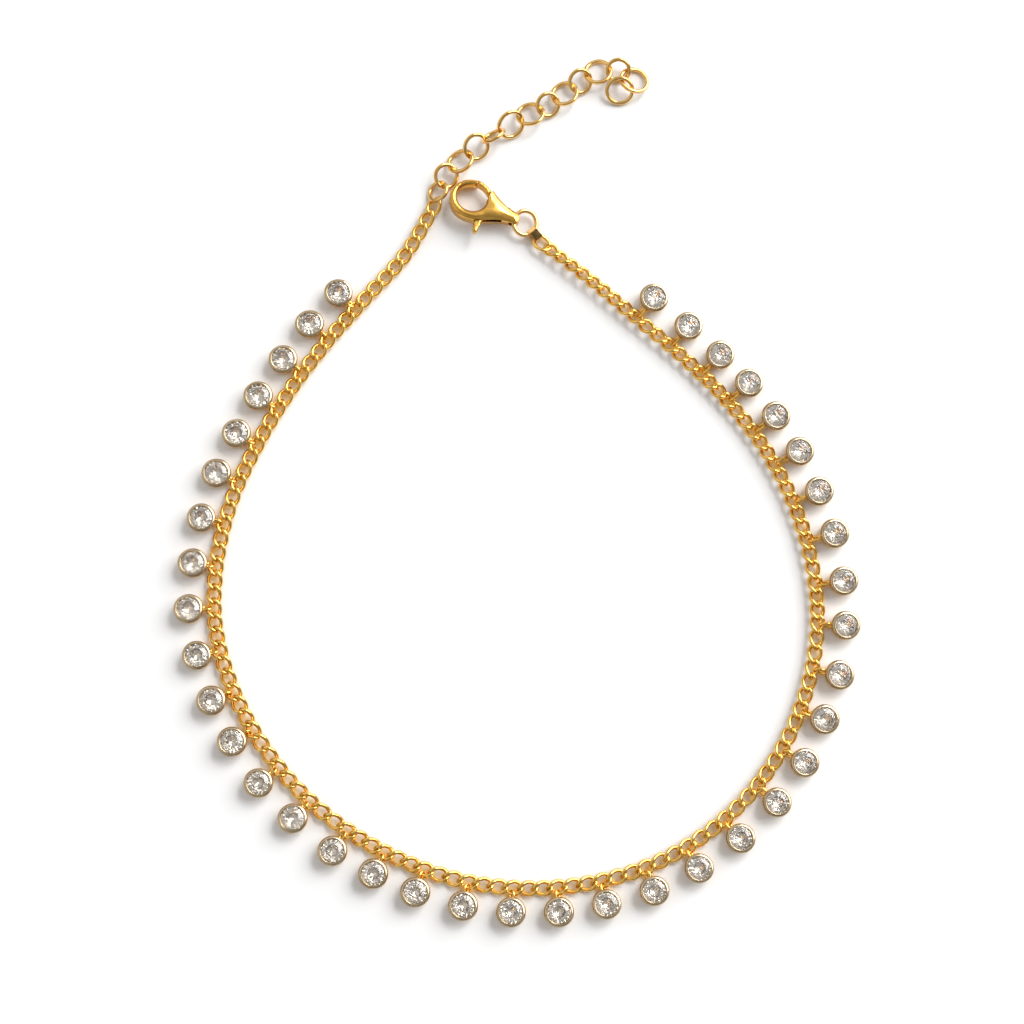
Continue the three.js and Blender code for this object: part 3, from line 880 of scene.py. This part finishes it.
# ---------------------------------------------------------------- floor
steps = [-0.060 + 0.0005 * i for i in range(241)]       # fine under the anklet, coarse beyond
steps = [-1.6, -0.8, -0.4, -0.2, -0.12, -0.08] + steps + [0.08, 0.12, 0.2, 0.4, 0.8, 1.6]
across = len(steps)
floor_mesh = bpy.data.meshes.new('floor')
floor_mesh.from_pydata([(x, y, 0.0) for y in steps for x in steps], [],
                       [(j * across + i, j * across + i + 1, (j + 1) * across + i + 1, (j + 1) * across + i)
                        for j in range(across - 1) for i in range(across - 1)])
floor_mesh.update()
# 1 under the chain's line, 0 from 1.15 mm away: where the painted glow and the painted warm tint reach fully
spots = np.array([(x, y) for y in steps for x in steps])
away = np.full(len(spots), 1.0)
for k in range(int(route.length / 0.7) + 1):
    at = place(route.at(k * 0.7)[0])
    away = np.minimum(away, np.hypot(spots[:, 0] - at[0], spots[:, 1] - at[1]))
layer = floor_mesh.attributes.new('beside_chain', 'FLOAT', 'POINT')
layer.data.foreach_set('value', np.clip((0.00115 - away) / 0.00045, 0.0, 1.0).astype(np.float32))
floor = bpy.data.objects.new('floor', floor_mesh)
bpy.context.scene.collection.objects.link(floor)
floor_mat = bpy.data.materials.new('pale_floor')
nt, bsdf = nodes_of(floor_mat)
grain = nt.nodes.new('ShaderNodeTexNoise')
grain.inputs['Scale'].default_value = 40.0
pale = nt.nodes.new('ShaderNodeValToRGB')
pale.color_ramp.elements[0].color = (0.885, 0.885, 0.885, 1)
pale.color_ramp.elements[1].color = (0.90, 0.90, 0.90, 1)
spot = nt.nodes.new('ShaderNodeTexCoord')
nt.links.new(spot.outputs['Object'], grain.inputs['Vector'])
nt.links.new(grain.outputs['Fac'], pale.inputs['Fac'])
# painted light and shade: the floor's colour is tinted warm and darker close beside the metal, standing in for gold
# bounce light and contact shade
painted_light_occlusion = nt.nodes.new('ShaderNodeAmbientOcclusion')
painted_light_occlusion.samples = 8
painted_light_occlusion.inputs['Distance'].default_value = 0.0009
painted_bounce_and_shade = nt.nodes.new('ShaderNodeValToRGB')
painted_bounce_and_shade.color_ramp.elements[0].position = 0.34
painted_bounce_and_shade.color_ramp.elements[0].color = (1.0, 0.69, 0.23, 1)
painted_bounce_and_shade.color_ramp.elements[1].position = 0.72
painted_bounce_and_shade.color_ramp.elements[1].color = (1.0, 1.0, 1.0, 1)
middle_stop = painted_bounce_and_shade.color_ramp.elements.new(0.53)
middle_stop.color = (1.0, 0.88, 0.62, 1)
painted_bounce_tint_mix = nt.nodes.new('ShaderNodeMixRGB')
painted_bounce_tint_mix.blend_type = 'MULTIPLY'
nt.links.new(painted_light_occlusion.outputs['AO'], painted_bounce_and_shade.inputs['Fac'])
nt.links.new(pale.outputs['Color'], painted_bounce_tint_mix.inputs['Color1'])
nt.links.new(painted_bounce_and_shade.outputs['Color'], painted_bounce_tint_mix.inputs['Color2'])
nt.links.new(painted_bounce_tint_mix.outputs['Color'], bsdf.inputs['Base Color'])
# painted glow: the floor emits amber light inside the links' openings, standing in for gold light shining back up
painted_glow_level = nt.nodes.new('ShaderNodeMapRange')
painted_glow_level.interpolation_type = 'SMOOTHSTEP'
painted_glow_level.inputs['From Min'].default_value = 0.36
painted_glow_level.inputs['From Max'].default_value = 0.54
painted_glow_level.inputs['To Min'].default_value = 0.36
painted_glow_level.inputs['To Max'].default_value = 0.0
nt.links.new(painted_light_occlusion.outputs['AO'], painted_glow_level.inputs['Value'])
beside = nt.nodes.new('ShaderNodeAttribute')
beside.attribute_name = 'beside_chain'
# the painted glow is kept to the floor beside the chain
inside = nt.nodes.new('ShaderNodeMath')
inside.operation = 'MULTIPLY'
nt.links.new(painted_glow_level.outputs['Result'], inside.inputs[0])
nt.links.new(beside.outputs['Fac'], inside.inputs[1])
nt.links.new(inside.outputs['Value'], bsdf.inputs['Emission Strength'])
# the painted warm tint and shade are full beside the chain and weaker elsewhere
amount = nt.nodes.new('ShaderNodeMapRange')
amount.inputs['To Min'].default_value = 0.55
amount.inputs['To Max'].default_value = 1.0
nt.links.new(beside.outputs['Fac'], amount.inputs['Value'])
nt.links.new(amount.outputs['Result'], painted_bounce_tint_mix.inputs['Fac'])
# amber colour of the painted glow
bsdf.inputs['Emission Color'].default_value = (1.0, 0.61, 0.05, 1)
bsdf.inputs['Roughness'].default_value = 0.9
bsdf.inputs['Specular IOR Level'].default_value = 0.1
floor_mesh.materials.append(floor_mat)

# ---------------------------------------------------------------- light
scene = bpy.context.scene
scene.view_settings.view_transform = 'Standard'
world = bpy.data.worlds.new('studio')
scene.world = world
world.use_nodes = True
nt = world.node_tree
nt.nodes.clear()
out_node = nt.nodes.new('ShaderNodeOutputWorld')
background = nt.nodes.new('ShaderNodeBackground')
coords = nt.nodes.new('ShaderNodeTexCoord')
split = nt.nodes.new('ShaderNodeSeparateXYZ')
band = nt.nodes.new('ShaderNodeValToRGB')
nt.links.new(coords.outputs['Generated'], split.inputs['Vector'])
nt.links.new(split.outputs['Z'], band.inputs['Fac'])
stops = band.color_ramp.elements
stops[0].position, stops[0].color = 0.0, (0.30, 0.30, 0.30, 1)
stops[1].position, stops[1].color = 1.0, (0.40, 0.40, 0.40, 1)
for pos, val in ((0.22, 0.34), (0.50, 0.80), (0.78, 1.0), (0.92, 0.66), (0.975, 0.42)):
    e = stops.new(pos)
    e.color = (val, val, val, 1)
nt.links.new(band.outputs['Color'], background.inputs['Color'])
# darker low down on the near side
side_on = nt.nodes.new('ShaderNodeVectorMath')
side_on.operation = 'DOT_PRODUCT'
side_on.inputs[1].default_value = (-0.45, 0.89, 0.0)
level = nt.nodes.new('ShaderNodeMapRange')
level.inputs['From Min'].default_value = -0.75
level.inputs['From Max'].default_value = 0.30
level.inputs['To Min'].default_value = 0.36
level.inputs['To Max'].default_value = 0.98
nt.links.new(coords.outputs['Generated'], side_on.inputs[0])
nt.links.new(side_on.outputs['Value'], level.inputs['Value'])
nt.links.new(level.outputs['Result'], background.inputs['Strength'])
nt.links.new(background.outputs['Background'], out_node.inputs['Surface'])


def area(name, azimuth, elevation, distance, size, power, colour=(1, 1, 1)):
    light = bpy.data.lights.new(name, 'AREA')
    light.shape = 'DISK'
    light.size = size
    light.energy = power
    light.color = colour
    obj = bpy.data.objects.new(name, light)
    a, e = math.radians(azimuth), math.radians(elevation)
    d = Vector((math.cos(e) * math.cos(a), math.cos(e) * math.sin(a), math.sin(e)))
    obj.location = d * distance
    obj.rotation_euler = d.to_track_quat('Z', 'Y').to_euler()
    scene.collection.objects.link(obj)
    return obj


area('key', 36, 33, 1.5, 1.65, 29.0)
area('spark', 52, 50, 1.5, 0.42, 4.0)

# ---------------------------------------------------------------- camera
cam = bpy.data.cameras.new('camera')
cam.lens = 70.3125
cam.sensor_width = 36.0
cam.sensor_fit = 'AUTO'
cam.clip_start = 0.005
cam.clip_end = 10.0
camera = bpy.data.objects.new('camera', cam)
tilt = math.radians(8)
camera.location = (OFFSET.x * 0.001, OFFSET.y * 0.001 - 0.230 * math.sin(tilt), 0.230 * math.cos(tilt))
camera.rotation_euler = (tilt, 0, 0)
scene.collection.objects.link(camera)
scene.camera = camera
